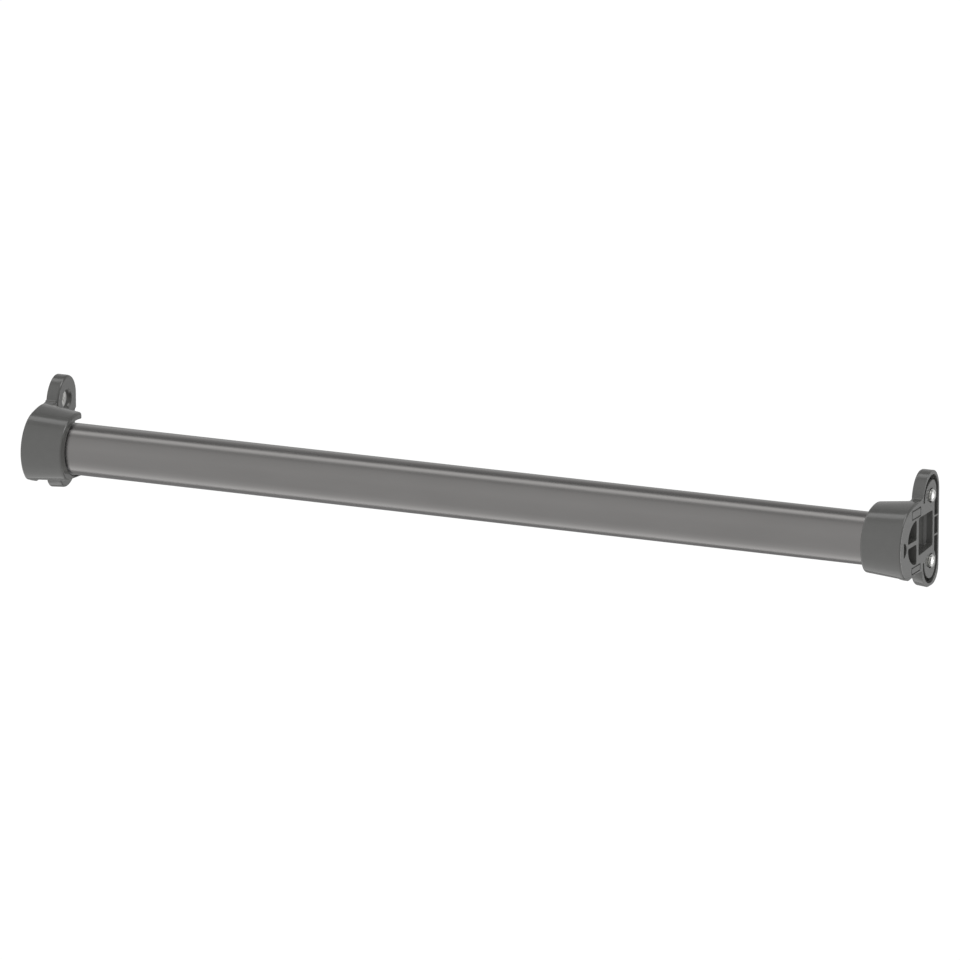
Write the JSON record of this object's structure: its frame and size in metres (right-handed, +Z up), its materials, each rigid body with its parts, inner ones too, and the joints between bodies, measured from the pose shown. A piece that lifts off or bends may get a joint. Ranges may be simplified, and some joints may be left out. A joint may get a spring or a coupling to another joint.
{
  "type": "wardrobe clothes rail",
  "caption": "Round steel clothes rail lying in moulded end brackets that screw to the side panels of a wardrobe.",
  "frame": {"origin": "middle of the tube's axis, halfway between the two side panels", "axes": "+X along the rail to the right-hand panel, +Y to the back of the wardrobe, where the screws are, +Z up"},
  "size_m": [0.4672, 0.0488, 0.056],
  "materials": {
    "rail_coating": "satin dark grey powder coat on steel tube",
    "bracket_plastic": "satin dark grey moulded polyamide with a very fine grain",
    "screw_zinc": "bright zinc-plated steel"
  },
  "bodies": {
    "brackets": {"left_bracket": "bracket_plastic", "right_bracket": "bracket_plastic", "left_upper_screw": "screw_zinc", "left_lower_screw": "screw_zinc", "right_upper_screw": "screw_zinc", "right_lower_screw": "screw_zinc"},
    "rail": {"rail_tube": "rail_coating"}
  },
  "joints": [
    {"name": "rail_turn", "type": "hinge", "parent": "brackets", "child": "rail", "pos_m": [0, 0, 0], "axis": [1, 0, 0], "continuous": true}
  ]
}
